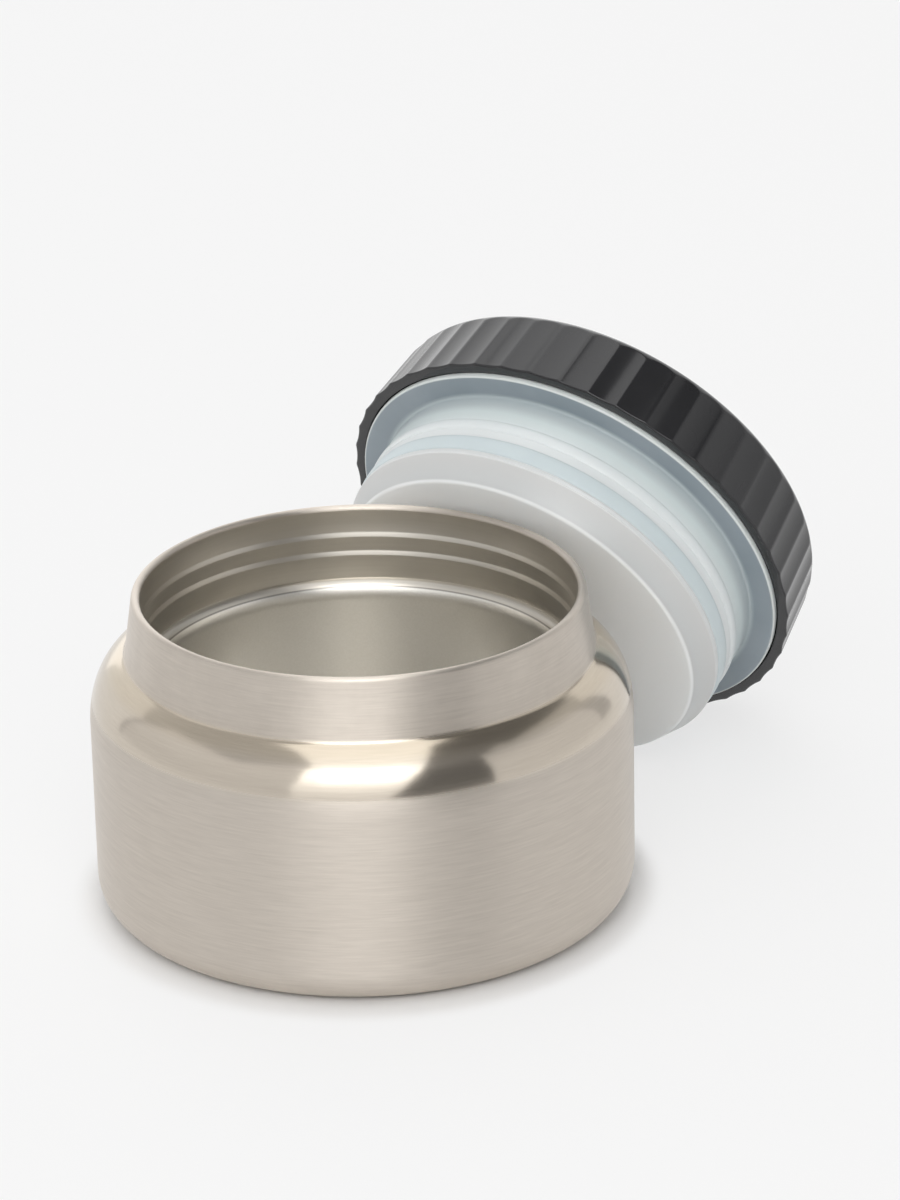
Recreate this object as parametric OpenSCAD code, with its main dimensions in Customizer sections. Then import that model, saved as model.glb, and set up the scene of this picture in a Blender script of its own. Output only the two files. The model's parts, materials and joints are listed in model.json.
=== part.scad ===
// Double-walled steel food jar with its screw lid taken off and laid beside it.
// Millimetres, Z up. The origin is the centre of the jar's base, on the table.

/* [Body] */
// Width of the rounded shoulder, from the neck's foot out to the body's wall
shoulder_w = 7.2; // [5:0.1:11]
// Height from the table to the top of the rim, without the lid
jar_h = 63; // [58:0.5:72]
// Thickness of the outer steel sheet
outer_wall = 0.6; // [0.4:0.1:0.9]
// Radius of the rounded corner at the base
base_corner = 7; // [5:0.5:9]
// Height of the rounded shoulder
shoulder_h = 12; // [9:0.5:14]

/* [Neck] */
// Inner diameter of the mouth, which sets the width of the jar and of its lid
mouth_d = 83.2; // [60:0.2:110]
// Thickness of the rim, where the two sheets are welded
rim_t = 1.7; // [1.5:0.1:2]
// Height of the neck, from the shoulder to the top of the rim
neck_h = 13; // [11:0.5:14]
// How far the neck widens from the rim down to the shoulder
neck_flare = 1.5; // [0.8:0.1:2]
// Radius of the hollow crease at the foot of the neck
crease_r = 1.2; // [0.8:0.1:1.6]
// Depth of the upper thread ridge below the rim
ridge_depth = 5.3; // [4.8:0.1:5.9]
// Distance from the upper thread ridge down to the lower one
ridge_pitch = 3.9; // [3.6:0.1:4.4]
// How far the thread ridges stand in from the wall
ridge_in = 0.4; // [0.2:0.05:0.5]
// Height of the sloping top of a thread ridge
ridge_fall = 1.2; // [0.8:0.1:1.6]

/* [Inner cup] */
// Thickness of the inner steel sheet
inner_wall = 0.5; // [0.4:0.1:0.7]
// How far the step draws the cup in from the mouth
step_in = 2.2; // [1.2:0.1:5]
// Depth of the step below the rim
step_depth = 15.2; // [14.6:0.2:16.6]
// Height of the sloping step
step_fall = 4; // [3.2:0.1:6]
// Height of the cup's inside floor above the table
floor_h = 6; // [5:0.25:9]
// Radius between the cup's wall and its floor
cup_corner = 9; // [6:0.5:14]
// Thickness of the foil wrapped round the cup
foil_t = 0.2; // [0.1:0.05:0.4]

/* [Base] */
// Thickness of the base plate
plate_t = 0.6; // [0.5:0.1:0.9]
// Diameter of the round disc stuck over the seal
cover_d = 34; // [28:1:44]
// Thickness of that disc
cover_t = 0.6; // [0.4:0.1:0.8]
// Diameter of the dimple that holds the seal
dimple_d = 10; // [8:0.5:12]
// Depth of the dimple behind the disc
dimple_depth = 1.2; // [1:0.1:1.6]
// Diameter of the hole that the air was drawn out through
hole_d = 2.6; // [2:0.2:4]
// Diameter of the getter pill
getter_d = 8; // [6:0.5:10]
// Thickness of the getter pill
getter_t = 1.4; // [1:0.1:2]
// Distance of the getter pill from the middle
getter_out = 26; // [24:1:30]

/* [Cap] */
// Height of the cap
cap_h = 17.7; // [15:0.1:20]
// Slope of the cap's side, in degrees, which makes the top smaller than the front edge
cap_taper = 5.5; // [0:0.5:7]
// Thickness of the cap's skirt at a crest
skirt_t = 2.4; // [2.2:0.1:3]
// Thickness of the cap's top
top_t = 2; // [1.5:0.1:2.6]
// Radius of the rounded edge of the top
top_edge = 3.9; // [2.5:0.1:5]
// Number of flutes
flutes = 48; // [40:1:56]
// Depth of a flute
flute_depth = 0.5; // [0.45:0.05:0.8]
// Share of each pitch that is the crest between two flutes
crest_share = 0.16; // [0.1:0.01:0.2]
// Turn of the flutes from the cap's lowest line, in degrees
flute_turn = 3; // [0:0.25:3.5]
// How far the cap's front reaches past the back face of the plug's flange
front_reach = 0.5; // [0.2:0.1:0.8]
// Thickness of the ring inside the cap that carries the plug
seat_t = 2; // [1.6:0.1:2.4]

/* [Plug] */
// How far the plug's flange stands out past the plug's wall
flange_w = 5.4; // [4.8:0.1:8]
// Gap between the plug's flange and the cap's skirt
flange_gap = 0.2; // [0.15:0.05:0.5]
// Thickness of the flange
flange_t = 1.4; // [1:0.1:2]
// Clearance between the plug and the mouth
plug_clear = 0.6; // [0.5:0.05:1]
// Thickness of the plug's wall
plug_wall = 1.8; // [1.6:0.1:2.2]
// Depth of the plug's lip behind its flange's back face
lip_depth = 17.2; // [16.4:0.1:18]
// Clearance between the lip and the mouth
lip_clear = 0.5; // [0.45:0.05:0.8]
// Height of the tapered foot of the plug, below the lip
foot_h = 5.7; // [4:0.1:7]
// How far the foot draws in from the lip to the plug's face
foot_in = 2.5; // [2.3:0.1:3]
// Rounding between the foot and the plug's face
foot_edge = 0.8; // [0.4:0.1:1.2]
// Thickness of the plug's face
face_t = 1.6; // [1.2:0.1:2.2]
// How far the thread ridge stands out of the plug's wall
thread_out = 0.4; // [0.2:0.05:0.5]
// Height of the thread ridge
thread_h = 2.7; // [2:0.1:3]
// Depth of the thread ridge behind the flange's back face
thread_depth = 7.9; // [7.6:0.1:8.4]
// Thickness of the plug's back wall, which shuts in the foam
back_t = 1.2; // [1:0.1:1.6]
// Depth of the seal ring behind the flange's back face
seal_depth = 12.2; // [11.8:0.1:12.6]
// Height of the seal ring
seal_h = 3.8; // [3:0.1:4]
// Depth of the groove that holds the seal ring
seal_groove = 0.8; // [0.6:0.05:0.9]
// How far the seal ring's middle bulges out of its groove
seal_out = 0.35; // [0.15:0.05:0.4]
// Length of the skirt that holds the plug in the cap
spigot_h = 4; // [3:0.25:6]
// Thickness of that skirt
spigot_t = 1.3; // [1:0.1:1.6]

/* [Lid's place beside the jar] */
// Direction from the jar to the lid, in degrees from X towards Y
lid_azimuth = 56.8; // [0:0.1:359]
// Lean of the lid, in degrees from standing upright on its edge
lid_lean = 26; // [20:0.5:32]
// Gap between the plug's face and the jar's rim
lid_gap = 2.2; // [0.6:0.1:5]

/* [Hidden] */
$fn = 96;
// Steps along each rounded outline
arc_steps = 12;
// Overrun of cutting shapes, and the loose fit of pieces laid into each other
over = 1;
fit = 0.1;
core_fit = 0.4;

mouth_r = mouth_d / 2;
rim_r = rim_t / 2;
rim_mid_r = mouth_r + rim_r;
rim_mid_z = jar_h - rim_r;
rim_out_r = mouth_r + rim_t;
neck_low_r = rim_out_r + neck_flare;
crease_z = jar_h - neck_h;
body_r = neck_low_r + shoulder_w;
shoulder_z = crease_z - shoulder_h;
base_open_r = body_r - base_corner;
crease_turn = acos(crease_r / shoulder_w);
crease_foot_z = shoulder_z + shoulder_h * sin(crease_turn);
cup_r = mouth_r - step_in;
step_z = jar_h - step_depth;
step_foot_z = step_z - step_fall;
cover_r = cover_d / 2;
dimple_r = dimple_d / 2;
hole_r = hole_d / 2;

plug_r = mouth_r - plug_clear;
flange_r = plug_r + flange_w;
skirt_in_r = flange_r + flange_gap;
cap_r = skirt_in_r + skirt_t;
seat_r = flange_r - fit;
seat_in_r = seat_r - seat_t;
spigot_r = seat_in_r - fit;
plug_in_r = plug_r - plug_wall;
lip_r = mouth_r - lip_clear;
lip_half = fit * 4;
joint_h = lip_depth - lip_half;
foot_r = lip_r - foot_in;
plug_depth = lip_depth + foot_h;
cap_back = cap_h - front_reach;
flute_half = 180 / flutes * (1 - crest_share);
valley_r = cap_r - flute_depth;
crest_x = cap_r * cos(flute_half);
flute_r = (2 * valley_r * crest_x - valley_r * valley_r - cap_r * cap_r) / (2 * (valley_r - crest_x));

// The leaning lid stands on whichever edge reaches lowest: lip, foot or cap
lip_low = lip_r * cos(lid_lean) + lip_depth * sin(lid_lean);
foot_low = (foot_r - foot_edge) * cos(lid_lean) + (plug_depth - foot_edge) * sin(lid_lean) + foot_edge;
cap_low = cap_r * cos(lid_lean) + front_reach * sin(lid_lean);
lid_z = max(lip_low, foot_low, cap_low);
lid_out = rim_mid_r + ((rim_mid_z - lid_z) * sin(lid_lean) + plug_depth + lid_gap + rim_r) / cos(lid_lean);

// Points of an elliptical arc about [x, y] with half axes a and b, between two angles
function arc(x, y, a, b, from, to) =
    [for (i = [0 : arc_steps]) let (t = from + (to - from) * i / arc_steps) [x + a * cos(t), y + b * sin(t)]];

// The step's smooth fall from the neck into the cup, moved out by t
function step_line(t) =
    [for (i = [0 : arc_steps]) let (u = i / arc_steps)
        [mouth_r + t - (mouth_r - cup_r) * (1 - cos(180 * u)) / 2, step_z - step_fall * u]];

// One surface of the inner sheet from the rim down to the middle of the floor, moved out by t
function cup_line(t) = concat(
    [[mouth_r + t, rim_mid_z],
     [mouth_r + t, jar_h - ridge_depth],
     [mouth_r + t - ridge_in, jar_h - ridge_depth - ridge_fall],
     [mouth_r + t, jar_h - ridge_depth - ridge_pitch],
     [mouth_r + t - ridge_in, jar_h - ridge_depth - ridge_pitch - ridge_fall]],
    step_line(t),
    arc(cup_r - cup_corner, floor_h + cup_corner, cup_corner + t, cup_corner + t, 0, -90),
    [[0, floor_h - t]]);

// One surface of the outer sheet from the neck's top down to the base, moved in by t
function shell_line(t) = concat(
    [[rim_out_r - t, rim_mid_z]],
    arc(neck_low_r + crease_r, crease_foot_z + crease_r, crease_r + t, crease_r + t, 180, 270),
    arc(neck_low_r, shoulder_z, shoulder_w - t, shoulder_h - t, crease_turn, 0),
    arc(base_open_r, base_corner, base_corner - t, base_corner - t, 0, -90));

function turned_back(points) = [for (i = [len(points) - 1 : -1 : 0]) points[i]];

// Outer steel shell: brushed wall, polished shoulder, neck and the rounded rim weld
module outer_shell() {
    color("lightsteelblue") {
        rotate_extrude()
            polygon(concat(shell_line(0), turned_back(shell_line(outer_wall))));
        rotate_extrude()
            polygon(arc(rim_mid_r, rim_mid_z, rim_r, rim_r, 0, 180));
    }
}

// Inner steel cup with the rolled thread ridges and the step that the plug's lip seats on
module inner_shell() {
    color("gainsboro")
        rotate_extrude()
            polygon(concat(cup_line(0), turned_back(cup_line(inner_wall))));
}

// Base plate welded into the open foot of the outer shell, stepped up for the disc and the seal
module base_plate() {
    recess_r = cover_r + fit;
    recess_in_r = recess_r + plate_t;
    dimple_z = cover_t + dimple_depth;
    dimple_out_r = dimple_r + plate_t;
    color("silver")
        rotate_extrude()
            polygon([[base_open_r, 0], [recess_r, 0], [recess_r, cover_t], [dimple_r, cover_t],
                     [dimple_r, dimple_z], [hole_r, dimple_z], [hole_r, dimple_z + plate_t],
                     [dimple_out_r, dimple_z + plate_t], [dimple_out_r, cover_t + plate_t],
                     [recess_in_r, cover_t + plate_t], [recess_in_r, plate_t], [base_open_r, plate_t]]);
}

// Thin steel disc stuck into the base plate's recess
module base_cover() {
    color("silver")
        cylinder(r = cover_r, h = cover_t);
}

// Bead of solder glass that closes the hole in the dimple
module vacuum_seal() {
    seal_z = cover_t + dimple_depth;
    color("dimgray") {
        translate([0, 0, cover_t + fit])
            cylinder(r = dimple_r - fit, h = dimple_depth - fit);
        translate([0, 0, seal_z])
            cylinder(r = hole_r, h = plate_t);
    }
}

// Getter pill on the base plate, inside the vacuum
module getter_pill() {
    color("slategray")
        translate([getter_out, 0, plate_t])
            cylinder(d = getter_d, h = getter_t);
}

// Foil wrapped round the straight part of the cup
module radiation_foil() {
    foil_in_r = cup_r + inner_wall + fit;
    foil_z = floor_h + cup_corner;
    color("peru")
        translate([0, 0, foil_z])
            difference() {
                cylinder(r = foil_in_r + foil_t, h = step_foot_z - foil_z);
                translate([0, 0, -over])
                    cylinder(r = foil_in_r, h = step_foot_z - foil_z + over + over);
            }
}

// Puts a piece of the lid, drawn about Z with the flange's back face at zero and the plug
// pointing up, into its place beside the jar
module lid_place() {
    translate([lid_out * cos(lid_azimuth), lid_out * sin(lid_azimuth), lid_z])
        rotate([0, 90 + lid_lean, lid_azimuth + 180])
            children();
}

// Black cap with a fluted skirt and, inside, the ring that carries the plug
module cap() {
    inside_z = top_t - cap_back;
    seat_root = top_t / 2;
    edge_x = cap_r - (cap_h - top_edge) * tan(cap_taper) - top_edge / cos(cap_taper);
    edge_z = top_edge - cap_back;
    inside_r = edge_x + top_edge - skirt_t;
    color("dimgray")
        lid_place() {
            difference() {
                rotate_extrude()
                    polygon(concat([[0, front_reach], [cap_r, front_reach]],
                                   arc(edge_x, edge_z, top_edge, top_edge, -cap_taper, -90),
                                   [[0, -cap_back]]));
                for (i = [0 : flutes - 1])
                    rotate(flute_turn + 360 / flutes * (i + 1 / 2))
                        translate([valley_r + flute_r, 0, front_reach])
                            rotate([0, cap_taper, 0])
                                translate([0, 0, -cap_h - over])
                                    cylinder(r = flute_r, h = cap_h + over + over);
                rotate_extrude()
                    polygon([[0, inside_z], [inside_r, inside_z], [skirt_in_r, -fit],
                             [skirt_in_r, front_reach + over], [0, front_reach + over]]);
            }
            difference() {
                translate([0, 0, inside_z - seat_root])
                    cylinder(r = seat_r, h = seat_root - inside_z);
                translate([0, 0, inside_z])
                    cylinder(r = seat_in_r, h = cap_h);
            }
        }
}

// Clear-white sleeve of the plug: flange, wall, thread ridge and the skirt that grips the cap
module plug_sleeve() {
    groove_r = plug_r - seal_groove;
    bite_r = plug_r - plug_wall / 2;
    color("lightcyan")
        lid_place() {
            difference() {
                union() {
                    cylinder(r = flange_r, h = flange_t);
                    cylinder(r = plug_r, h = joint_h);
                    translate([0, 0, -spigot_h])
                        cylinder(r = spigot_r, h = spigot_h);
                }
                translate([0, 0, back_t])
                    cylinder(r = plug_in_r, h = joint_h);
                translate([0, 0, -spigot_h - over])
                    cylinder(r = spigot_r - spigot_t, h = spigot_h + over);
                translate([0, 0, seal_depth])
                    difference() {
                        cylinder(r = plug_r + over, h = seal_h);
                        cylinder(r = groove_r, h = seal_h);
                    }
            }
            rotate_extrude()
                polygon(concat([[bite_r, thread_depth + thread_h], [bite_r, thread_depth]],
                               arc(plug_r, thread_depth + thread_h / 2, thread_out, thread_h / 2, -90, 90)));
        }
}

// Bottom cup of the plug, welded to the sleeve: lip, tapered foot and flat face
module plug_base() {
    lip_in_r = lip_r - lip_half;
    foot_top = lip_depth + lip_half;
    inner_foot_r = foot_r - plug_wall;
    color("honeydew")
        lid_place()
            rotate_extrude()
                polygon(concat([[plug_in_r, joint_h], [lip_in_r, joint_h], [lip_r, lip_depth], [lip_in_r, foot_top]],
                               arc(foot_r - foot_edge, plug_depth - foot_edge, foot_edge, foot_edge, 0, 90),
                               [[0, plug_depth], [0, plug_depth - face_t],
                                [inner_foot_r, plug_depth - face_t], [plug_in_r, foot_top]]));
}

// Soft ring in the plug's groove that seals against the neck
module seal_ring() {
    groove_r = plug_r - seal_groove;
    edge_r = plug_r - fit;
    seal_low = seal_depth + fit / 2;
    seal_tall = seal_h - fit;
    color("azure")
        lid_place()
            rotate_extrude()
                polygon(concat([[groove_r, seal_low], [groove_r, seal_low + seal_tall]],
                               arc(edge_r, seal_low + seal_tall / 2, seal_out, seal_tall / 2, 90, -90)));
}

// Foam disc that fills the plug
module insulation_core() {
    core_r = plug_in_r - core_fit;
    core_foot_r = foot_r - plug_wall - core_fit;
    core_z = back_t + core_fit;
    core_top = plug_depth - face_t - core_fit;
    color("ivory")
        lid_place()
            rotate_extrude()
                polygon([[0, core_z], [core_r, core_z], [core_r, joint_h], [core_foot_r, core_top], [0, core_top]]);
}

outer_shell();
inner_shell();
base_plate();
base_cover();
vacuum_seal();
getter_pill();
radiation_foil();
cap();
plug_sleeve();
plug_base();
seal_ring();
insulation_core();
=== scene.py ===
# %% [markdown]
# A squat steel food jar stands open, and its screw lid leans on edge beside it. This script
# loads the measured model as a fixed frame, then turns, flutes and finishes every piece that
# shows. Nearly everything here is round, so the main tool is a lathe: an outline of a few
# points and arcs, spun about an axis.

# %% Load the frame
import json
import math

import bmesh
import bpy
from mathutils import Matrix, Vector


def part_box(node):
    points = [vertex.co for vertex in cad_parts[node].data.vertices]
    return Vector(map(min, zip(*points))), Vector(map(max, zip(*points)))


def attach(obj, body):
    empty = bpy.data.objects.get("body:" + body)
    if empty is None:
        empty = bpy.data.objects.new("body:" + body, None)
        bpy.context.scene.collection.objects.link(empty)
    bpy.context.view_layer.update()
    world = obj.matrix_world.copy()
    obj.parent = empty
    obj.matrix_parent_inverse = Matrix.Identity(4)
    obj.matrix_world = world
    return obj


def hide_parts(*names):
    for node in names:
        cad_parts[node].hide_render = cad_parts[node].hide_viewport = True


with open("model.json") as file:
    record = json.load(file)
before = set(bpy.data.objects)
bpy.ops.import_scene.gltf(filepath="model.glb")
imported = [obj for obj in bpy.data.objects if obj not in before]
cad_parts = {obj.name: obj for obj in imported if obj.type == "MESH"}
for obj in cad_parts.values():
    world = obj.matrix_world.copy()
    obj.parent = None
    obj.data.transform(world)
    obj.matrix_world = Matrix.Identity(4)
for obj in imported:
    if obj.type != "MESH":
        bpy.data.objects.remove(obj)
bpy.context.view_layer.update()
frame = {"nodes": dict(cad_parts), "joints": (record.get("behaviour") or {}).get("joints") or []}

print("pieces in the frame:", sorted(frame["nodes"]))

# %% [markdown]
# The frame is in metres, and a jar is easier to think of in millimetres, so one named unit
# turns one into the other. The sizes below are the jar's own, read from the same drawing as
# the frame. The radii are worked out from the mouth, as a maker would, because the plug, the
# cap and the cup all have to suit it.

# %% Sizes of the jar
mm = 0.001

mouth_r = 41.6 * mm
rim_t = 1.7 * mm
neck_flare = 1.5 * mm
shoulder_w = 7.2 * mm
jar_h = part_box("outer_shell")[1].z
neck_h = 13 * mm
shoulder_h = 12 * mm
base_corner = 7 * mm
outer_wall = 0.6 * mm

rim_r = rim_t / 2
rim_mid_r = mouth_r + rim_r
rim_mid_z = jar_h - rim_r
neck_low_r = mouth_r + rim_t + neck_flare
body_r = neck_low_r + shoulder_w
crease_z = jar_h - neck_h
shoulder_z = crease_z - shoulder_h
frame_body_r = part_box("outer_shell")[1].x
print("body", round(2 * body_r / mm, 1), "mm across, frame", round(2 * frame_body_r / mm, 1))

# %% [markdown]
# The lid is easiest to turn about its own axis, lying flat, and then to carry to where it
# leans. The frame already knows that place: the turning joint of the lid gives its axis and
# a point on it. `lid_place` is the matrix that carries a piece there. Its X axis points down
# the slope, so that a flute's place round the cap can be counted from the table.

# %% Where the lid leans
lid_joint = next(j for j in frame["joints"] if j["name"] == "lid_turn")
lid_axis = Vector(lid_joint["axis"]).normalized()
lid_centre = Vector(lid_joint["pos_m"])
downhill = (Vector((0, 0, -1)) + lid_axis * lid_axis.z).normalized()
sideways = lid_axis.cross(downhill)
lid_place = Matrix((downhill, sideways, lid_axis)).transposed().to_4x4()
lid_place.translation = lid_centre
lid_inverse = lid_place.inverted()
print("lid leans", round(math.degrees(math.asin(-lid_axis.z)), 1), "degrees")

# %% [markdown]
# The camera looks down on the jar through a long lens, which keeps its ellipses calm. Its
# place and angles come from fitting the jar's rim and base to the photograph, whose frame
# is 900 by 1200. A camera looks along its own -Z, so it is tipped up from looking straight
# down, then turned about the vertical, and the small roll is about its own line of sight.

# %% Camera
camera_spot = Vector((-7.7, -892.9, 435.0)) * mm
camera_pitch = math.radians(22.785)
camera_yaw = math.radians(1.603)
camera_roll = math.radians(-1.248)
frame_height_px = 1200
focal_px = 5100
sensor_mm = 36

camera_data = bpy.data.cameras.new("camera")
camera_data.sensor_fit = "VERTICAL"
camera_data.sensor_height = sensor_mm
camera_data.lens = focal_px / frame_height_px * sensor_mm
camera_data.clip_end = 20
camera = bpy.data.objects.new("camera", camera_data)
turned_camera = Matrix.Translation(camera_spot) @ Matrix.Rotation(-camera_yaw, 4, "Z")
tipped_camera = turned_camera @ Matrix.Rotation(math.pi / 2 - camera_pitch, 4, "X")
camera.matrix_world = tipped_camera @ Matrix.Rotation(camera_roll, 4, "Z")
bpy.context.scene.collection.objects.link(camera)
bpy.context.scene.camera = camera
print("lens", round(camera_data.lens), "mm")

# %% [markdown]
# A lathe needs two helpers. `arc` gives the points of a round stretch of an outline, and
# `turned_mesh` spins an outline about Z. Every outline is a closed loop, so that every sheet is
# solid and its faces can point outwards, but an edge that lies on the axis would sweep no
# face and is left out. The spin merges its last ring with its first, points that fall
# together on the axis are merged too, and the normals are worked out afresh, because a spin
# can leave a shape inside out.

# %% The lathe
turn_steps = 256
merge_gap = 0.002 * mm


def arc(x, z, across, along, start, end, steps=10):
    """Points of an elliptical arc about (x, z), from one angle in degrees to another."""
    turns = [math.radians(start + (end - start) * i / steps) for i in range(steps + 1)]
    return [(x + across * math.cos(t), z + along * math.sin(t)) for t in turns]


def turned_mesh(outline, steps=turn_steps):
    """A bmesh of a closed outline of (radius, height) points spun about Z."""
    mesh = bmesh.new()
    ring = [mesh.verts.new((x, 0, z)) for x, z in outline]
    edges = [mesh.edges.new((start, end)) for start, end in zip(ring, ring[1:] + ring[:1])
             if start.co.x > 0 or end.co.x > 0]
    bmesh.ops.spin(mesh, geom=ring + edges, cent=(0, 0, 0), axis=(0, 0, 1), angle=2 * math.pi,
                   steps=steps, use_merge=True)
    bmesh.ops.remove_doubles(mesh, verts=mesh.verts, dist=merge_gap)
    bmesh.ops.recalc_face_normals(mesh, faces=mesh.faces)
    return mesh


print("the lathe turns in", turn_steps, "steps")

# %% [markdown]
# Every finished shape becomes an object in the same way. A lid piece is carried to its place
# inside its mesh, so its object stays at the origin, unturned. Edges sharper than `crisp` are
# marked sharp, so that flat and round faces meet cleanly and the rest is shaded smooth. The
# piece gets its material and is hung on the body it rides on, and the frame's own piece that it
# stands for is hidden.

# %% Pieces
crisp = math.radians(28)


def thing_of(name, mesh, material):
    """An object of a bmesh and a material, in the scene."""
    data = bpy.data.meshes.new(name)
    mesh.to_mesh(data)
    mesh.free()
    data.materials.append(material)
    thing = bpy.data.objects.new(name, data)
    bpy.context.scene.collection.objects.link(thing)
    return thing


def piece(name, mesh, body, node, material, place=None):
    """A visible piece that rides on a body and stands for a node of the frame."""
    if place:
        bmesh.ops.transform(mesh, matrix=place, verts=mesh.verts)
    for face in mesh.faces:
        face.smooth = True
    for edge in mesh.edges:
        if len(edge.link_faces) == 2:
            edge.smooth = edge.calc_face_angle() < crisp
    thing = thing_of(name, mesh, material)
    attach(thing, body)
    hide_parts(node)
    print(name, len(thing.data.polygons), "faces")


print("edges over", round(math.degrees(crisp)), "degrees stay sharp")


# %% [markdown]
# Materials are node trees, and long ones are hard to read as nodes. `Wire` wraps a socket
# and lets plain sums such as `1 - mask * 2` add the Math nodes. Python asks the wire on the
# right when the left side is a plain number, which is what the reflected forms are for.

# %% Wires that add up
class Wire:
    """A value in a node tree that can be used in a sum."""

    def __init__(self, finish, socket):
        self.finish = finish
        self.socket = socket

    def math(self, operation, *values, clamp=False):
        """A Math node fed with the values, one of which is this wire."""
        settings = {"operation": operation, "use_clamp": clamp}
        return self.finish.add("ShaderNodeMath", settings, dict(enumerate(values)))

    def __add__(self, other):
        return self.math("ADD", self, other)

    def __radd__(self, other):
        return self.math("ADD", other, self)

    def __sub__(self, other):
        return self.math("SUBTRACT", self, other)

    def __rsub__(self, other):
        return self.math("SUBTRACT", other, self)

    def __mul__(self, other):
        return self.math("MULTIPLY", self, other)

    def __rmul__(self, other):
        return self.math("MULTIPLY", other, self)

    def __truediv__(self, other):
        return self.math("DIVIDE", self, other)

    def __rtruediv__(self, other):
        return self.math("DIVIDE", other, self)

    def __pow__(self, other):
        return self.math("POWER", self, other)

    def __rpow__(self, other):
        return self.math("POWER", other, self)

    def size(self):
        """The value without its sign."""
        return self.math("ABSOLUTE", self)

    def clamped(self):
        """The value held between 0 and 1."""
        return self.math("ADD", self, 0, clamp=True)


print("sums of wires become Math nodes")


# %% [markdown]
# `Finish` holds one material. Values that are the same all over go straight onto the shader's
# own sockets, under their own names written with underscores. `add` makes any other node from
# its type, its settings and what goes into its sockets, and gives its output back as a wire.

# %% One material
def socket_name(word):
    """The shader's own name for a socket, as Base Color for base_color."""
    return word.replace("_", " ").title().replace("Ior", "IOR")


class Finish:
    """One material: a Principled shader and the nodes that vary it."""

    def __init__(self, name, **constants):
        self.material = bpy.data.materials.new(name)
        self.material.use_nodes = True
        self.tree = self.material.node_tree
        self.shader = self.tree.nodes["Principled BSDF"]
        self.put(**constants)

    def put(self, **sockets):
        """Feeds the shader's own sockets."""
        for word, value in sockets.items():
            self.feed(self.shader.inputs[socket_name(word)], value)

    def feed(self, socket, value):
        """Links a wire to a socket, or sets the socket's own value."""
        if isinstance(value, Wire):
            self.tree.links.new(value.socket, socket)
        else:
            socket.default_value = value

    def add(self, kind, settings=None, sockets=None, output=0):
        """A node of a type, with its settings set first and then its sockets, as a Wire."""
        node = self.tree.nodes.new(kind)
        for key, value in (settings or {}).items():
            if key == "stops":
                self.set_stops(node.color_ramp, value)
            else:
                setattr(node, key, value)
        for key, value in (sockets or {}).items():
            self.feed(node.inputs[key], value)
        return Wire(self, node.outputs[output])

    def set_stops(self, ramp, stops):
        """Gives a colour ramp its stops, each a place and a colour."""
        while len(ramp.elements) < len(stops):
            ramp.elements.new(1)
        for element, (position, colour) in zip(ramp.elements, stops):
            element.position = position
            element.color = (*colour, 1)


print("constants go onto sockets such as", socket_name("specular_ior_level"))


# %% [markdown]
# A few patterns serve every finish. All of them start from Object coordinates, which are in
# metres, so a scale of 60 gives some sixty lumps to the metre. A lid piece leans, and a
# Mapping node turns its coordinates back until the lid's axis is Z again. The Mix node has
# a set of sockets for each kind of value, and the numbers here are the places of its colours.

# %% Patterns
mix_factor, mix_first, mix_second, mix_result = 0, 6, 7, 2


def coordinates(finish, inverse=None):
    """Object coordinates, as seen from a lid piece's own axis if its inverse matrix is given."""
    plain = finish.add("ShaderNodeTexCoord", output="Object")
    if inverse is None:
        return plain
    return finish.add("ShaderNodeMapping", {}, {
        "Vector": plain, "Rotation": inverse.to_euler("XYZ"), "Location": inverse.translation})


def split(vector):
    """The x, y and z of a vector."""
    parts = vector.finish.add("ShaderNodeSeparateXYZ", {}, {"Vector": vector}).socket.node
    return [Wire(vector.finish, part) for part in parts.outputs]


def from_axis(x, y):
    """How far a point lies from the axis."""
    return (x * x + y * y) ** 0.5


def noise(vector, scale, detail=2, roughness=0.5):
    return vector.finish.add("ShaderNodeTexNoise", {}, {
        "Vector": vector, "Scale": scale, "Detail": detail, "Roughness": roughness})


def streaks(x, y, along, round_scale, along_scale, detail, roughness=0.5):
    """Noise with one scale round the axis and another along the outline."""
    stretched = x.finish.add("ShaderNodeCombineXYZ", {}, {
        "X": x * round_scale, "Y": y * round_scale, "Z": along * along_scale})
    return noise(stretched, 1, detail, roughness)


def step(value, low, high):
    """Rises smoothly from 0 at low to 1 at high."""
    return value.finish.add("ShaderNodeMapRange", {"interpolation_type": "SMOOTHSTEP"}, {
        "Value": value, "From Min": low, "From Max": high})


def paint(colour):
    """A wire as it is, or a colour with its alpha."""
    return colour if isinstance(colour, Wire) else (*colour, 1)


def mix(factor, first, second):
    """The first colour where the factor is 0, and the second where it is 1."""
    return factor.finish.add("ShaderNodeMix", {"data_type": "RGBA"}, {
        mix_factor: factor, mix_first: paint(first), mix_second: paint(second)}, mix_result)


def tinted(colour, tint):
    """One colour multiplied by another."""
    return colour.finish.add("ShaderNodeMix", {"data_type": "RGBA", "blend_type": "MULTIPLY"}, {
        mix_factor: 1, mix_first: colour, mix_second: tint}, mix_result)


def bump(height, distance, strength):
    return height.finish.add("ShaderNodeBump", {}, {
        "Height": height, "Distance": distance, "Strength": strength})


print("patterns ready, colours mix through sockets", mix_first, "and", mix_second)

# %% [markdown]
# Brushed steel: the jar is spun against a belt, so every scratch runs round it. Noise that
# is stretched a long way round and squeezed along the outline makes such scratches with no
# seam, where a flat image would have to be wrapped and joined. Scratches that all run one way
# also spread a reflection across themselves, which is what the shader's anisotropy does. A
# quarter turn of it makes the spread run up and down the wall. The shoulder is polished down
# to a line just below its round, and the neck is brushed by hand, in blotches.

# %% Brushed steel
polish_z = 42.1 * mm
steel_dark = (0.47, 0.42, 0.37)
steel_light = (0.76, 0.70, 0.625)
polish_tint = (0.99, 0.955, 0.87)


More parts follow.
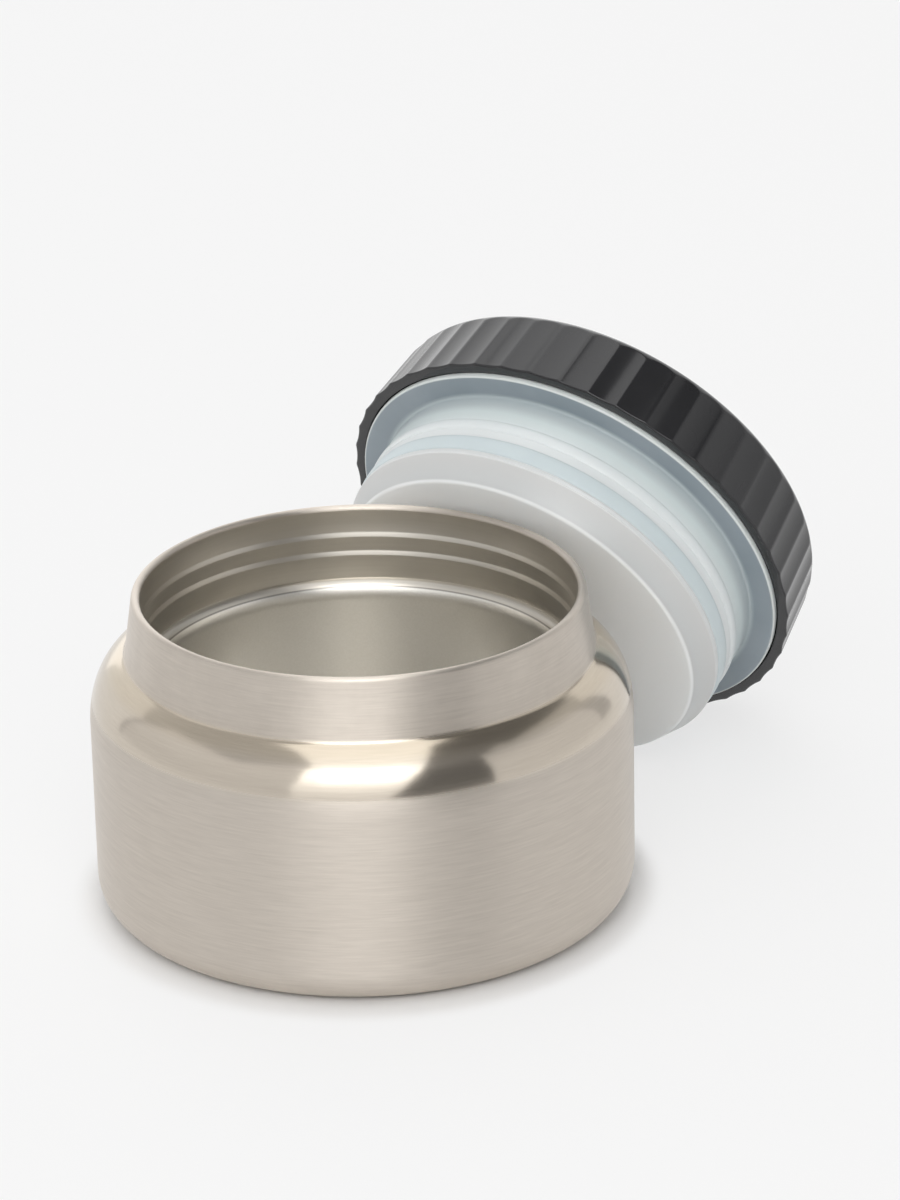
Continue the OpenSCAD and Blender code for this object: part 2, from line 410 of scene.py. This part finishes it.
def brushed_steel():
    steel = Finish("brushed_steel", metallic=1, anisotropic=0.82, anisotropic_rotation=0.25)
    x, y, z = split(coordinates(steel))
    along = z - from_axis(x, y)
    fine = streaks(x, y, along, round_scale=130, along_scale=2600, detail=4, roughness=0.6)
    coarse = streaks(x, y, along, round_scale=60, along_scale=800, detail=3, roughness=0.6)
    blotch = streaks(x, y, z, round_scale=100, along_scale=70, detail=4, roughness=0.6)
    cloud = streaks(x, y, z, round_scale=22, along_scale=22, detail=3)
    neck = step(z, crease_z + 0.6 * mm, crease_z + 1.6 * mm)
    polished = step(z, polish_z - 0.6 * mm, polish_z + 0.8 * mm) * (1 - neck)
    crease = step(z, crease_z - 2.6 * mm, crease_z - 0.4 * mm) * (1 - neck)
    scratch = (fine - 0.5) * 0.6 + (coarse - 0.5) * 0.16
    patches = (cloud - 0.5) * 0.16 + (blotch - 0.5) * neck * 0.55
    shade = scratch * (1 - polished * 0.45) + patches + 0.5
    worn = mix(shade.clamped(), steel_dark, steel_light)
    gold = mix(polished * 0.5 + crease * 0.5, (1, 1, 1), polish_tint)
    rough = 0.44 - polished * 0.27 + scratch * 0.10 + (blotch - 0.5) * neck * 0.10
    height = scratch * (1 - polished * 0.7)
    steel.put(base_color=tinted(worn, gold), roughness=rough, normal=bump(height, 0.02 * mm, 0.3))
    return steel.material


steel_outside = brushed_steel()
print(steel_outside.name, "has", len(steel_outside.node_tree.nodes), "nodes")

# %% [markdown]
# The cup inside is blasted with glass beads, which leaves a soft, even grain with no
# direction. Its colours are set well above plain steel, as painted light for the light that
# bounces round inside the cup. The upper wall with its thread ridges is masked off and keeps
# the marks of its turning and the colour of plain steel, so it is darker, and where the mask
# ended a fine dark line is painted shade of a tiny groove. Both belong to one piece of steel,
# so one material changes over at that height.

# %% Blasted steel
blast_z = jar_h - 16.4 * mm
# The cup's colours are raised above plain steel: painted light for the light bouncing round the cup, with
# the blasted grain.
blasted_and_lit_dark, blasted_and_lit_light = (0.74, 0.715, 0.665), (0.90, 0.88, 0.835)
turned_dark, turned_light = (0.50, 0.47, 0.42), (0.68, 0.645, 0.585)
# Painted shade: the dark line of a tiny groove where the blasting ends.
groove_shade_colour = (0.10, 0.09, 0.08)


def blasted_steel():
    steel = Finish("blasted_steel", metallic=1)
    place = coordinates(steel)
    grain = noise(place, 2400, 2)
    cloud = noise(place, 45, 3)
    x, y, z = split(place)
    turned = step(z, blast_z - 0.1 * mm, blast_z + 0.1 * mm)
    # A thin band round blast_z that takes the painted groove shade.
    groove_shade_mask = step((z - blast_z).size(), 0.22 * mm, 0.06 * mm)
    turning = streaks(x, y, z, round_scale=60, along_scale=1800, detail=2)
    marks = (grain - 0.5) * (1 - turned) * 0.5 + (turning - 0.5) * turned * 0.3
    shade = marks + (cloud - 0.5) * 0.2 + 0.5
    # The cup takes the raised colours, painted light together with its grain.
    cup = mix(shade, blasted_and_lit_dark, blasted_and_lit_light)
    wall = mix(shade, turned_dark, turned_light)
    colour = mix(groove_shade_mask * 0.6, mix(turned, cup, wall), groove_shade_colour)
    steel.put(base_color=colour, roughness=0.32 + (cloud - 0.5) * 0.05,
              normal=bump(grain * (1 - turned), 0.03 * mm, 0.4))
    return steel.material


steel_inside = blasted_steel()
print(steel_inside.name, "changes over", round((jar_h - blast_z) / mm, 1), "mm below the rim")

# %% [markdown]
# The jar's outer sheet is formed from one tube. Its outline goes down the outside, from the rim
# weld over the flared neck, the crease, the shoulder and the straight wall to the rounded
# foot, and comes back up the inside of the sheet. The shoulder is a quarter of an ellipse
# that runs out into a flatter arc under the crease, because its polished top shows the whole
# studio and would give away a wrong curve. The sheet's thickness is an inset of every arc.

# %% Outer shell
crease_r = 1.5 * mm
crease_slope = 62
neck_lean = 8
flat_from = 42
flat_r = 11.6 * mm


def sheet_line(inset):
    """The outer sheet from the neck's foot to its own foot, moved in by the sheet's thickness."""
    turn = math.atan(math.tan(math.radians(flat_from)) * shoulder_h / shoulder_w)
    lean, slope = math.radians(flat_from), math.radians(crease_slope)
    start_r = neck_low_r + shoulder_w * math.cos(turn)
    start_z = shoulder_z + shoulder_h * math.sin(turn)
    flat_x, flat_z = start_r - flat_r * math.cos(lean), start_z - flat_r * math.sin(lean)
    top_r, top_z = flat_x + flat_r * math.cos(slope), flat_z + flat_r * math.sin(slope)
    hollow_x, hollow_z = top_r + crease_r * math.cos(slope), top_z + crease_r * math.sin(slope)
    hollow_r, corner_r = crease_r + inset, base_corner - inset
    return (arc(hollow_x, hollow_z, hollow_r, hollow_r, 180 + neck_lean, 180 + crease_slope, 10)
            + arc(flat_x, flat_z, flat_r - inset, flat_r - inset, crease_slope, flat_from, 8)
            + arc(neck_low_r, shoulder_z, shoulder_w - inset, shoulder_h - inset,
                  math.degrees(turn), 0, 20)[1:]
            + arc(body_r - base_corner, base_corner, corner_r, corner_r, 0, -90, 14))


rim_line = arc(rim_mid_r, rim_mid_z, rim_r, rim_r, 180, 0, 14)
shell_outline = (rim_line + sheet_line(0) + sheet_line(outer_wall)[::-1]
                 + [(mouth_r + rim_t - outer_wall, rim_mid_z)])
piece("jar_shell", turned_mesh(shell_outline), "jar", "outer_shell", steel_outside)

# %% [markdown]
# The inner cup is a second sheet, welded to the outer one at the rim. Its wall has two rolled
# ridges that the lid's thread rides on. Each has a small shelf on top that catches the light,
# then leans back out to the wall. A broad step curves in to the cup proper, whose floor turns
# up into the wall through a wide round. The outline is doubled back by the sheet's thickness
# and closes at the rim, inside the weld where the two sheets meet.

# %% Inner cup
inner_wall = 0.5 * mm
step_in = 2.2 * mm
ridge_in = 0.4 * mm
ridge_fall = 1.2 * mm
ridge_depths = (5.3 * mm, 9.2 * mm)
ridge_shares = ((0, 0), (0.25, 0.25), (0.88, 0.8), (1, 1))
step_depth = 15.2 * mm
step_fall = 4 * mm
floor_h = 6 * mm
cup_corner = 9 * mm

cup_r = mouth_r - step_in


def ridge(depth, out):
    """A rolled ridge, as shares of its reach into the cup and of its fall."""
    return [(mouth_r + out - ridge_in * inward, jar_h - depth - ridge_fall * down)
            for inward, down in ridge_shares]


def cup_line(out):
    """The inner sheet from the rim to the middle of the floor, moved out by its thickness."""
    ridges = [point for depth in ridge_depths for point in ridge(depth, out)]
    fall = arc(mouth_r + out, jar_h - step_depth - step_fall, -step_in, step_fall, 90, 0, 16)
    corner = arc(cup_r - cup_corner, floor_h + cup_corner, cup_corner + out, cup_corner + out, 0, -90, 20)
    return [(mouth_r + out, rim_mid_z)] + ridges + fall + corner + [(0, floor_h - out)]


cup_mesh = turned_mesh(cup_line(0) + cup_line(inner_wall)[::-1])
piece("jar_cup", cup_mesh, "jar", "inner_shell", steel_inside)

# %% [markdown]
# The lid's sizes follow from the mouth too: the plug fits inside it, the plug's flange covers
# the rim, and the cap's skirt stands round the flange. The cap has forty-eight shallow flutes,
# each cut by a round bar. The bar's radius comes from the flute's depth and from where its
# cut meets the next one, which leaves narrow crests. Heights are counted from the back of the
# flange, forwards to the plug's face and backwards to the cap's top.

# %% Sizes of the lid
plug_r = mouth_r - 0.6 * mm
flange_r = plug_r + 5.4 * mm
skirt_in_r = flange_r + 0.2 * mm
skirt_t = 2.4 * mm
cap_r = skirt_in_r + skirt_t
front_z = 0.5 * mm
cap_h = 17.7 * mm
cap_taper = math.radians(5.5)
top_t = 2 * mm
top_edge = 3.9 * mm
flutes = 48
flute_depth = 0.3 * mm
crest_share = 0.08

back_z = front_z - cap_h
edge_x = cap_r - (cap_h - top_edge) * math.tan(cap_taper) - top_edge / math.cos(cap_taper)
edge_z = back_z + top_edge
valley_r = cap_r - flute_depth
crest_x = cap_r * math.cos(math.pi / flutes * (1 - crest_share))
flute_r = (2 * valley_r * crest_x - valley_r ** 2 - cap_r ** 2) / (2 * (valley_r - crest_x))
print("flute's cutter", round(flute_r / mm, 1), "mm in radius")

# %% [markdown]
# The cap is moulded in one shot of black plastic. It is turned smooth first. Then each vertex
# that lies outside a flute's cutter, which leans in with the cap's side, is drawn straight in
# to the cutter's surface. Cutting forty-eight bars away with booleans would be slower and
# leave thin, uneven faces, while this keeps the lathe's own even ones. The flutes end in
# small arches where the top's rounding begins. At the front the rounded edge itself is
# carried in with each flute, which leaves the front ring with a scalloped outline.

# %% Cap
front_edge = 0.4 * mm
inner_edge = 0.3 * mm
seat_z = -0.1 * mm
side_steps = 30
columns_per_flute = 16
flute_turn = math.radians(3)
fluted_from_r = 0.8 * cap_r


def cap_outline():
    """From the seat of the flange round the front edge, down the side and across the top."""
    lean = -math.degrees(cap_taper)
    outline = [(skirt_in_r, seat_z), (skirt_in_r, front_z - inner_edge)]
    outline += arc(skirt_in_r + inner_edge, front_z - inner_edge, inner_edge, inner_edge, 180, 90, 4)
    outline += arc(cap_r - front_edge, front_z - front_edge, front_edge, front_edge, 90, lean, 10)
    top_round = arc(edge_x, edge_z, top_edge, top_edge, lean, -90, 24)
    (start_r, start_z), (end_r, end_z) = outline[-1], top_round[0]
    outline += [(start_r + (end_r - start_r) * i / side_steps, start_z + (end_z - start_z) * i / side_steps)
                for i in range(1, side_steps)]
    top_inside = [(0, back_z + top_t), (edge_x + top_edge - skirt_t, back_z + top_t)]
    return outline + top_round + [(0, back_z)] + top_inside


def flute_wall(radius, turn, height):
    """How far out a flute leaves a point of the cap, or none where no cutter reaches."""
    lean_in = (front_z - height) * math.tan(cap_taper)
    cutter = valley_r + flute_r - lean_in
    pitch = 2 * math.pi / flutes
    off = (turn - flute_turn) % pitch - pitch / 2
    reach = flute_r ** 2 - (cutter * math.sin(off)) ** 2
    if reach <= 0:
        return None
    wall = cutter * math.cos(off) - math.sqrt(reach)
    if height > front_z - 2 * front_edge and radius > cap_r - 3 * front_edge:
        wall += min(radius - cap_r + lean_in, 0)
    return wall


def cap_mesh():
    mesh = turned_mesh(cap_outline(), flutes * columns_per_flute)
    for vertex in mesh.verts:
        radius = math.hypot(vertex.co.x, vertex.co.y)
        if radius < fluted_from_r:
            continue
        wall = flute_wall(radius, math.atan2(vertex.co.y, vertex.co.x), vertex.co.z)
        if wall is not None and wall < radius:
            vertex.co.x *= wall / radius
            vertex.co.y *= wall / radius
    return mesh


fluted_cap = cap_mesh()
print("cap turned in", flutes * columns_per_flute, "steps")

# %% [markdown]
# Glossy black plastic is nearly all reflection, so its own colour only has to be dark. A
# faint grain and a few clouds in the roughness keep the reflections from looking perfect.

# %% Black plastic
black_dark, black_light = (0.012, 0.012, 0.013), (0.022, 0.022, 0.024)


def black_plastic():
    plastic = Finish("black_plastic", specular_ior_level=0.5)
    place = coordinates(plastic, lid_inverse)
    cloud = noise(place, 60, 3)
    grain = noise(place, 1500, 2)
    plastic.put(base_color=mix(cloud, black_dark, black_light), roughness=0.13 + cloud * 0.07,
                normal=bump(grain, 0.01 * mm, 0.2))
    return plastic.material


piece("cap_shell", fluted_cap, "lid", "cap", black_plastic(), lid_place)

# %% [markdown]
# The plug is moulded from milky plastic. Light passes through its thin wall, so it is
# brightest in the middle and takes on the dark of the cap near its flange. Real
# translucency would need many light paths, so most of it is painted light: a ramp gives the
# wall's colour by its distance along the lid's axis, with painted shade near the flange, a
# painted glow through the middle and over the face, and painted highlights on the lip and
# round the face's edge, and a little scattering softens the light on top. The flange has the
# dark cap right behind it, whose shade is painted onto it as a mottled blue-grey, inside a
# painted highlight along its pale edge.

# %% Milky plastic
tone_span = 24
# Painted light by height: shade near the flange, glow through the middle, highlights on the lip and at the
# face's edge.
painted_light_tones = (
    (1.6, (0.42, 0.48, 0.50)), (3.6, (0.48, 0.53, 0.54)), (5.4, (0.60, 0.67, 0.67)),
    (7.4, (0.64, 0.70, 0.70)), (9, (0.70, 0.74, 0.745)), (12, (0.68, 0.715, 0.72)),
    (16, (0.69, 0.72, 0.725)), (17.4, (0.73, 0.75, 0.75)), (17.7, (0.60, 0.605, 0.60)),
    (21.6, (0.56, 0.575, 0.575)), (22.3, (0.54, 0.55, 0.55)), (22.7, (0.88, 0.905, 0.905)))
# Painted shade: the dark cap behind the flange, showing through as a mottled blue-grey.
painted_shade_dark, painted_shade_light = (0.20, 0.25, 0.28), (0.32, 0.36, 0.40)
# A painted highlight along the flange's pale outer edge.
painted_edge_highlight = (0.66, 0.70, 0.69)
milky_reach = (4 * mm, 4.4 * mm, 4.6 * mm)


def milky_plastic():
    plastic = Finish("milky_plastic", specular_ior_level=0.5, subsurface_weight=0.25,
                     subsurface_radius=milky_reach, subsurface_scale=1)
    place = coordinates(plastic, lid_inverse)
    x, y, z = split(place)
    radius = from_axis(x, y)
    cloud = noise(place, 70, 3)
    stops = [(height / tone_span, colour) for height, colour in painted_light_tones]
    # The ramp paints the wall's light and shade by height along the lid's axis.
    wall = plastic.add("ShaderNodeValToRGB", {"stops": stops}, {0: z / (tone_span * mm)})
    flange = step(radius, plug_r + 0.2 * mm, plug_r + 1.2 * mm)
    # The band near the flange's rim that takes the painted edge highlight.
    edge = step(radius, flange_r - 0.5 * mm, flange_r - 0.15 * mm)
    # The flange takes the painted shade of the cap, inside the painted edge highlight.
    painted_flange_light = mix(edge, mix(cloud, painted_shade_dark, painted_shade_light), painted_edge_highlight)
    plastic.put(base_color=mix(flange, wall, painted_flange_light), roughness=0.28 + cloud * 0.1,
                normal=bump(noise(place, 900, 2), 0.01 * mm, 0.2))
    return plastic.material


milky = milky_plastic()
print("milky wall has", len(painted_light_tones), "tones")

# %% [markdown]
# The plug's sleeve is its flange, its wall with one thread ridge, and the groove that holds
# the seal, closed by a back wall that the cap hides. One outline from the middle of the back
# round to the middle of the inside makes all of it, and the root of the flange gets a small
# round, as a moulding needs.

# %% Plug sleeve
flange_t = 1.4 * mm
flange_back_edge = 0.35 * mm
root_r = 0.5 * mm
plug_wall = 1.8 * mm
back_t = 1.2 * mm
thread_out = 0.3 * mm
thread_h = 2.6 * mm
thread_z = 7.8 * mm
seal_z = 12.4 * mm
seal_h = 3.8 * mm
seal_groove = 0.8 * mm
lip_z = 17.4 * mm
joint_z = lip_z - 0.8 * mm


def sleeve_mesh():
    edge = flange_back_edge
    groove_r = plug_r - seal_groove
    inside_r = plug_r - plug_wall
    outline = [(0, 0), (flange_r - edge, 0)]
    outline += arc(flange_r - edge, edge, edge, edge, -90, 0, 5)
    outline += arc(flange_r - edge, flange_t - edge, edge, edge, 0, 90, 6)
    outline += arc(plug_r + root_r, flange_t + root_r, root_r, root_r, 270, 180, 8)
    outline += arc(plug_r, thread_z + thread_h / 2, thread_out, thread_h / 2, -90, 90, 14)
    outline += [(plug_r, seal_z), (groove_r, seal_z), (groove_r, seal_z + seal_h), (plug_r, seal_z + seal_h)]
    outline += [(plug_r, joint_z), (inside_r, joint_z), (inside_r, back_t), (0, back_t)]
    return turned_mesh(outline)


piece("plug_sleeve_wall", sleeve_mesh(), "lid", "plug_sleeve", milky, lid_place)

# %% [markdown]
# The plug's foot is a cup of its own, welded to the sleeve once the foam is in. It has a lip
# that hides the weld, then a tapered foot and a flat face. The edge of the face is rounded,
# because that round is the thin bright line round the face, and the milky plastic's ramp also
# paints that line bright, a painted highlight.

# %% Plug foot
lip_r = mouth_r - 0.5 * mm
lip_edge = 0.3 * mm
foot_r = lip_r - 2.5 * mm
foot_edge = 0.8 * mm
plug_z = lip_z + 5.5 * mm
face_t = 1.6 * mm
lip_under = 0.4 * mm


def foot_mesh():
    outline = [(plug_r - plug_wall, joint_z), (plug_r, joint_z), (lip_r - lip_edge, lip_z - lip_edge)]
    outline += arc(lip_r - lip_edge, lip_z, lip_edge, lip_edge, 0, 60, 3)
    outline += arc(foot_r - foot_edge, plug_z - foot_edge, foot_edge, foot_edge, 25, 90, 8)
    outline += [(0, plug_z), (0, plug_z - face_t), (foot_r - plug_wall, plug_z - face_t),
                (plug_r - plug_wall, lip_z + lip_under)]
    return turned_mesh(outline)


piece("plug_foot", foot_mesh(), "lid", "plug_base", milky, lid_place)

# %% [markdown]
# The seal is a soft ring that sits in the plug's groove and stands just proud of the wall. It
# is silicone, slightly bluer and duller than the plug. A half ellipse spun round is all its
# shape, and a little scattering gives it the soft look of rubber.

# %% Seal ring
seal_out = 0.25 * mm
seal_dark, seal_light = (0.53, 0.60, 0.62), (0.59, 0.66, 0.68)
seal_reach = (2 * mm, 2 * mm, 2.4 * mm)


def silicone():
    rubber = Finish("silicone", specular_ior_level=0.4, subsurface_weight=0.2,
                    subsurface_radius=seal_reach, subsurface_scale=1)
    cloud = noise(coordinates(rubber, lid_inverse), 90, 3)
    rubber.put(base_color=mix(cloud, seal_dark, seal_light), roughness=0.4 + cloud * 0.1)
    return rubber.material


def seal_mesh():
    groove_r = plug_r - seal_groove
    outline = [(groove_r, seal_z)]
    outline += arc(plug_r, seal_z + seal_h / 2, seal_out, seal_h / 2, -90, 90, 14)
    outline += [(groove_r, seal_z + seal_h)]
    return turned_mesh(outline)


piece("plug_seal", seal_mesh(), "lid", "seal_ring", silicone(), lid_place)

# %% [markdown]
# The pieces that stay hidden or lie underneath have the right shape in the frame already, so
# they keep its meshes and only get a finish: two steels for the base, solder glass, a getter's
# dark metal, copper foil round the cup, and foam. One function serves them all, with two
# colours, the size of the clouds between them, and how rough and how metallic it is.

# %% Hidden pieces
def plain_finish(name, dark, light, scale, rough, metal):
    finish = Finish(name, metallic=metal)
    cloud = noise(coordinates(finish), scale, 3)
    finish.put(base_color=mix(cloud, dark, light), roughness=rough + cloud * 0.1,
               normal=bump(cloud, 0.02 * mm, 0.3))
    return finish.material


hidden = {
    "base_plate": plain_finish("base_steel", (0.48, 0.46, 0.43), (0.60, 0.57, 0.54), 300, 0.3, 1),
    "base_cover": plain_finish("disc_steel", (0.52, 0.50, 0.47), (0.62, 0.60, 0.57), 500, 0.25, 1),
    "vacuum_seal": plain_finish("seal_glass", (0.02, 0.022, 0.02), (0.04, 0.042, 0.038), 800, 0.2, 0),
    "getter_pill": plain_finish("getter_metal", (0.08, 0.08, 0.085), (0.14, 0.14, 0.15), 900, 0.6, 1),
    "radiation_foil": plain_finish("copper_foil", (0.72, 0.38, 0.24), (0.86, 0.50, 0.34), 120, 0.15, 1),
    "insulation_core": plain_finish("foam", (0.72, 0.69, 0.60), (0.84, 0.81, 0.73), 700, 0.9, 0)}
for node, material in hidden.items():
    data = frame["nodes"][node].data
    data.materials.clear()
    data.materials.append(material)
print("finished", len(hidden), "pieces of the frame")

# %% [markdown]
# The jar stands on white paper that is lit until it is almost white. A glow stands in for
# that extra light, so that the lamps needn't be turned up on the jar: it is seen by the eye
# and in the steel, and lights nothing. It stops short of the jar's foot, so that the thin
# dark line of its contact stays, and leaves a share of plain paper everywhere, which keeps
# the shadows.

# %% Floor
floor_r = 1.6
floor_z = -0.05 * mm
paper_white = (0.93, 0.93, 0.93, 1)
paper_grey = (0.86, 0.86, 0.86, 1)
glow_share = 0.74
glow_from, glow_full = 0.5 * mm, 6 * mm


def lit_paper():
    paper = Finish("paper", base_color=paper_grey, roughness=0.9, specular_ior_level=0.1)
    x, y, z = split(coordinates(paper))
    seen = paper.add("ShaderNodeLightPath", output="Is Camera Ray")
    light_path = seen.socket.node
    for ray in ("Is Glossy Ray", "Is Transmission Ray"):
        seen = seen + Wire(paper, light_path.outputs[ray])
    lit = step(from_axis(x, y) - body_r, glow_from, glow_full) * glow_share * seen.clamped()
    glow = paper.add("ShaderNodeEmission", {}, {"Color": paper_white, "Strength": 1})
    plain = Wire(paper, paper.shader.outputs[0])
    mixed = paper.add("ShaderNodeMixShader", {}, {0: lit, 1: plain, 2: glow})
    paper.feed(paper.tree.nodes["Material Output"].inputs["Surface"], mixed)
    return paper.material


floor_mesh = bmesh.new()
bmesh.ops.create_circle(floor_mesh, cap_ends=True, segments=96, radius=floor_r)
bmesh.ops.translate(floor_mesh, verts=floor_mesh.verts, vec=(0, 0, floor_z))
floor = thing_of("floor", floor_mesh, lit_paper())
print("floor", 2 * floor_r, "m across")

# %% [markdown]
# The studio is a white room, so the steel mirrors white nearly everywhere. What gives the jar
# its shape is the little that isn't white, and the polished shoulder shows all of it. These
# lights and boards are cards: grids that glow, row by row, more or less than the room. Lamps
# would light the jar as well, but a mirror shows what a lamp looks like, and a card can be
# given any outline and a soft edge. The glow is an attribute of the card's points.
#
# Boards that stand round the jar are given by azimuth and rise. The soft box and what hangs
# beside it run like a vault, so there a row's angle goes from the front over the top to the
# back, and its two ends are angles to the left and right of that arc. The camera itself
# doesn't see the cards.

# %% A card
top_glow = 8
card_columns = 8


def around(azimuth, rise, far):
    """A place round the jar, from its azimuth and rise in degrees."""
    turn, rise = math.radians(azimuth), math.radians(rise)
    return far * math.sin(turn), -far * math.cos(turn), far * math.tan(rise)


def overhead(aside, over, far):
    """A place on the vault over the jar, from its angles to the side and over the top."""
    aside, over = math.radians(aside), math.radians(over)
    return far * math.tan(aside), -far * math.cos(over), far * math.sin(over)


def card(name, spot, far, rows):
    """A board of rows (angle, left, right, glow), placed by `around` or `overhead`."""
    mesh = bmesh.new()
    layer = mesh.verts.layers.float_color.new("glow")
    last = len(rows) - 1
    grid = bmesh.ops.create_grid(mesh, x_segments=card_columns, y_segments=last, size=1)
    for vertex in grid["verts"]:
        across, row = (vertex.co.x + 1) / 2, round((vertex.co.y + 1) / 2 * last)
        angle, left, right, glow = rows[row]
        vertex.co = spot(left + (right - left) * across, angle, far)
        vertex[layer] = (glow / top_glow, glow / top_glow, glow / top_glow, 1)
    finish = Finish(name, base_color=(0, 0, 0, 1), specular_ior_level=0, emission_strength=top_glow)
    finish.put(emission_color=finish.add("ShaderNodeAttribute", {"attribute_name": "glow"}))
    board = thing_of(name, mesh, finish.material)
    board.visible_camera = False
    print(name, len(board.data.polygons), "faces, brightest row", max(row[3] for row in rows))


# %% [markdown]
# The photograph's reflections tell where each card hangs. A long soft box runs over jar and
# camera, and its brighter middle makes the white patch on the shoulder. It is built as two
# cards, the brighter one a little nearer, so that each stays a simple strip of rows.

# %% Soft box
card("soft_box", overhead, 2.3, (
    (-3, -32, 8, 0.95), (4.5, -32, 10, 1.0), (9, -31, 12, 1.1), (13, -30.5, 14, 1.25),
    (19, -29.5, 16, 1.4), (25, -27.5, 17, 1.6), (30, -25, 18, 2.2), (40, -23, 20, 2.4),
    (50, -20, 20, 2.4), (56, -17.5, 20, 1.7), (65, -16, 19, 1.5), (90, -15, 15, 1.55),
    (120, -15, 15, 1.6), (132, -15, 15, 1.5)))
card("soft_box_middle", overhead, 2.25, (
    (31, -17, 12, 2.6), (35, -17, 13, 5.5), (45, -15, 14, 5.5), (50, -14, 14, 3)))

# %% [markdown]
# Right of the soft box the studio is open and dark, which is the brown patch beside the white
# one. The darkest strip goes on over the top, and the black cap mirrors it.

# %% Dark gaps
card("gap_right", around, 2.5, (
    (-3, 5, 53, 0.16), (15, 5, 54, 0.155), (30, 5, 55, 0.17), (45, 5, 60, 0.28), (58, 5, 70, 0.3)))
card("dark_strip", overhead, 2.4, (
    (56, 18, 38, 0.28), (75, 15, 42, 0.22), (90, 12, 43, 0.16), (110, 12, 41, 0.16), (132, 12, 34, 0.22)))

# %% [markdown]
# The rest are boards and stretches of ceiling a shade darker than the room, and one brighter
# light behind. They shade the sides of the jar softly, so that its round can be read.

# %% Boards and ceiling
card("ceiling_right", overhead, 2.45, (
    (60, 36, 56, 0.5), (90, 40, 56, 0.55), (110, 38, 56, 0.55), (134, 30, 56, 0.6)))
card("back_light", around, 2.5, ((-3, 163, 206, 1.4), (20, 163, 206, 1.45), (46, 165, 208, 1.4)))
card("ceiling_left", overhead, 2.45, (
    (60, -45, -12, 0.62), (90, -45, -12, 0.57), (110, -45, -12, 0.57), (134, -50, -12, 0.66)))
card("board_left", around, 2.6, (
    (-3, -118, -30, 0.78), (14, -118, -30, 0.8), (26, -118, -28, 0.85), (38, -112, -25, 0.88),
    (50, -100, -20, 0.8)))
card("edge_left", around, 2.58, ((-3, -121, -118, 0.62), (26, -121, -117, 0.62), (38, -116, -111, 0.64)))
card("board_right", around, 2.6, (
    (-3, 52, 118, 0.8), (14, 52, 118, 0.8), (26, 53, 118, 0.8), (34, 55, 114, 0.7), (40, 58, 105, 0.6)))
card("edge_right", around, 2.55, ((-3, 116, 127, 0.55), (26, 116, 127, 0.55), (32, 114, 124, 0.6)))

# %% [markdown]
# The white room itself is the world's own light, at a level where a colour renders about as
# it is written. The plain Standard view keeps it that way.

# %% Room
room_glow = 0.95

world = bpy.data.worlds.new("room")
bpy.context.scene.world = world
world.use_nodes = True
background = world.node_tree.nodes["Background"]
background.inputs["Color"].default_value = (1, 1, 1, 1)
background.inputs["Strength"].default_value = room_glow
bpy.context.scene.view_settings.view_transform = "Standard"
print("room glows at", room_glow)
